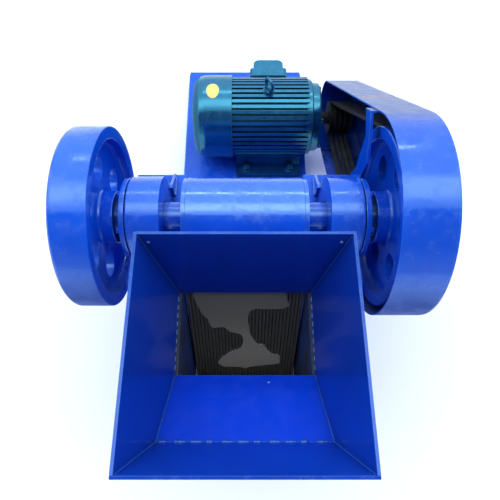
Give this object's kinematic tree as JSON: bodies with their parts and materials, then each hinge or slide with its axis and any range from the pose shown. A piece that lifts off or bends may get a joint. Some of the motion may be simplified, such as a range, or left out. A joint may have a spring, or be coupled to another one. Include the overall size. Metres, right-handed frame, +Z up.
{
  "type": "jaw crusher",
  "caption": "Compact single-toggle jaw crusher: flared feed hopper, leaning swing jaw, flywheel, belt drive under a wrap-round guard and foot-mounted motor on a steel skid.",
  "frame": {"origin": "on the ground under the middle of the machine's outline", "axes": "+Z up, -Y towards the feed hopper, +Y towards the motor, +X towards the belt guard"},
  "size_m": [0.678, 1.2718, 0.7159],
  "materials": {
    "frame_paint": "glossy royal-blue enamel over rough castings and plate, with runs and dust",
    "wheel_paint": "glossy royal-blue enamel on cast iron",
    "hopper_paint": "glossy royal-blue enamel on welded sheet steel",
    "guard_paint": "glossy royal-blue enamel on rolled sheet steel",
    "motor_paint": "steel-blue motor enamel",
    "jaw_steel": "dark manganese-steel casting, worn grey on the ribs",
    "bright_steel": "machined steel, lightly oiled",
    "pulley_iron": "dark oiled cast iron",
    "belt_rubber": "black V-belt rubber",
    "spring_steel": "black-oiled spring and rod steel"
  },
  "bodies": {
    "frame": {"skid_rails": "frame_paint", "skid_cross_members": "frame_paint", "motor_platform": "frame_paint", "side_wall_left": "frame_paint", "side_wall_right": "frame_paint", "bearing_ledges": "frame_paint", "wall_ribs": "frame_paint", "pedestal_gussets": "frame_paint", "front_wall": "frame_paint", "rear_wall": "frame_paint", "toggle_seat": "jaw_steel", "bearing_housing_left": "frame_paint", "bearing_housing_right": "frame_paint", "bearing_covers": "frame_paint", "fixed_jaw_plate": "jaw_steel", "cheek_plates": "jaw_steel", "toggle_plate": "jaw_steel", "tension_rod": "spring_steel", "tension_spring": "spring_steel", "hopper_back": "hopper_paint", "hopper_left": "hopper_paint", "hopper_right": "hopper_paint", "hopper_front": "hopper_paint", "hopper_floor": "hopper_paint", "motor_frame": "motor_paint", "motor_fan_cowl": "motor_paint", "motor_end_shield": "motor_paint", "motor_terminal_box": "motor_paint", "motor_lifting_eye": "motor_paint", "guard_band": "guard_paint", "guard_side_plate": "guard_paint", "guard_bracket": "guard_paint", "guard_lower_bracket": "guard_paint", "v_belts": "belt_rubber"},
    "crank": {"eccentric_shaft": "frame_paint", "flywheel": "wheel_paint", "drive_pulley": "wheel_paint", "shaft_locknuts": "bright_steel"},
    "swing_jaw": {"pitman": "frame_paint", "pitman_end_rings": "frame_paint", "moving_jaw_plate": "jaw_steel", "jaw_wedge": "jaw_steel"},
    "motor_rotor": {"motor_shaft": "bright_steel", "motor_pulley": "pulley_iron"}
  },
  "joints": [
    {"name": "shaft_spin", "type": "hinge", "parent": "frame", "child": "crank", "pos_m": [0, -0.1821, 0.516], "axis": [1, 0, 0], "continuous": true},
    {"name": "jaw_swing", "type": "hinge", "parent": "frame", "child": "swing_jaw", "pos_m": [0, -0.1821, 0.516], "axis": [-1, 0, 0], "range_deg": [0, 1.8]},
    {"name": "motor_spin", "type": "hinge", "parent": "frame", "child": "motor_rotor", "pos_m": [0.29, 0.3289, 0.18], "axis": [1, 0, 0], "continuous": true}
  ],
  "couplings": [
    {"joint": "motor_spin", "follows": "shaft_spin", "ratio": 3.787}
  ]
}
